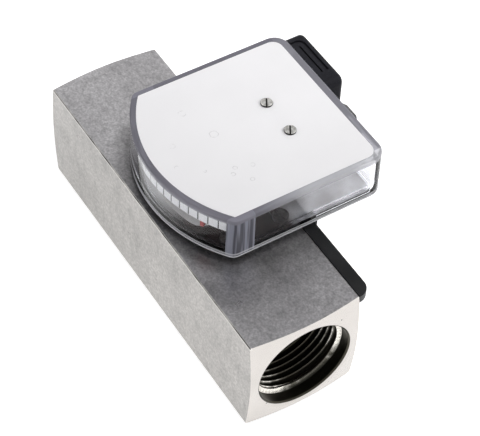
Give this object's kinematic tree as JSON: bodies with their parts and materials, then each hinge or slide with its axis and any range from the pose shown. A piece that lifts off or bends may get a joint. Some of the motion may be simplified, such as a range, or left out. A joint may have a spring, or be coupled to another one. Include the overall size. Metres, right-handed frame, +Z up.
{
  "type": "variable area flow meter",
  "caption": "Square metal flow meter body with threaded ports, magnetically coupled pointer and microswitch under a clear arc-fronted hood, and a side plug connector.",
  "frame": {"origin": "middle of the flow body's underside", "axes": "+X along the flow axis towards the inlet port, +Z up towards the hood, +Y towards the plug connector"},
  "size_m": [0.13, 0.0898, 0.0597],
  "materials": {
    "nickel_body": "nickel plated, blasted flats and turned ends",
    "clear_plastic": "clear moulded plastic",
    "white_plate": "white enamel, smooth",
    "black_plastic": "fine moulded texture",
    "black_metal": "black coat",
    "bright_steel": "bright",
    "brass": "turned",
    "magnet": "sintered, plated",
    "rubber": "soft, matt",
    "grey_plastic": "moulded",
    "sleeve_plastic": "machined engineering plastic",
    "pointer_red": "painted red",
    "pointer_frame": "white moulded",
    "board": "solder mask",
    "lead_insulation": "thin insulation",
    "dial_band": "printed band"
  },
  "bodies": {
    "meter_body": {"flow_body": "nickel_body", "metering_sleeve": "sleeve_plastic", "sleeve_seal": "rubber", "inlet_spider": "bright_steel", "outlet_spider": "bright_steel", "guide_rod": "bright_steel", "stop_ring": "rubber", "retaining_ring": "bright_steel", "return_spring": "bright_steel", "base_plate": "clear_plastic", "hood": "clear_plastic", "top_plate": "white_plate", "cover_screws": "bright_steel", "base_screws": "bright_steel", "pointer_bridge": "bright_steel", "bridge_pillars": "bright_steel", "pivot_pin": "bright_steel", "scale_band": "dial_band", "switch_board": "board", "switch_body": "black_plastic", "switch_hinge_pin": "bright_steel", "switch_terminals": "brass", "lead_wires": "lead_insulation", "lead_grommet": "rubber", "side_rail": "black_metal", "rail_screws": "bright_steel", "rail_claws": "black_plastic", "socket_carrier": "black_plastic", "socket_insert": "brass", "contact_pins": "bright_steel", "plug_gasket": "rubber", "plug_housing": "black_plastic", "plug_insert": "grey_plastic", "plug_screw": "bright_steel", "gland_nut": "black_plastic", "gland_seal": "rubber"},
    "piston_unit": {"piston": "brass", "ring_magnet": "magnet", "magnet_cap": "brass"},
    "pointer": {"pointer_lever": "pointer_frame", "pointer_bush": "brass", "follower_magnet": "magnet", "pointer_flag": "pointer_red", "counterweight": "brass"},
    "cam_ring": {"setpoint_cam": "grey_plastic"},
    "leaf": {"switch_leaf": "bright_steel"},
    "plunger": {"switch_plunger": "pointer_red"}
  },
  "joints": [
    {"name": "piston_slide", "type": "slide", "parent": "meter_body", "child": "piston_unit", "axis": [-1, 0, 0], "range_m": [0, 0.029], "stiffness_N_per_m": 80, "springref_m": -0.012, "deforming": ["return_spring"]},
    {"name": "pointer_turn", "type": "hinge", "parent": "meter_body", "child": "pointer", "pos_m": [0, 0.031, 0.051], "axis": [0, 0, 1], "range_deg": [-50, 0]},
    {"name": "cam_setting", "type": "hinge", "parent": "pointer", "child": "cam_ring", "pos_m": [0, 0.031, 0.047], "axis": [0, 0, 1], "range_deg": [-40, 40]},
    {"name": "leaf_swing", "type": "hinge", "parent": "meter_body", "child": "leaf", "pos_m": [-0.0056, 0.03907, 0.0468], "axis": [0, 0, 1], "range_deg": [0, 6.2], "stiffness_Nm_per_rad": 0.01, "springref_deg": -5.73},
    {"name": "plunger_slide", "type": "slide", "parent": "meter_body", "child": "plunger", "axis": [0, 1, 0], "range_m": [0, 0.0005]}
  ],
  "couplings": [
    {"joint": "pointer_turn", "follows": "piston_slide", "rad_per_m": -30.09},
    {"joint": "plunger_slide", "follows": "leaf_swing", "m_per_rad": 0.0046}
  ]
}
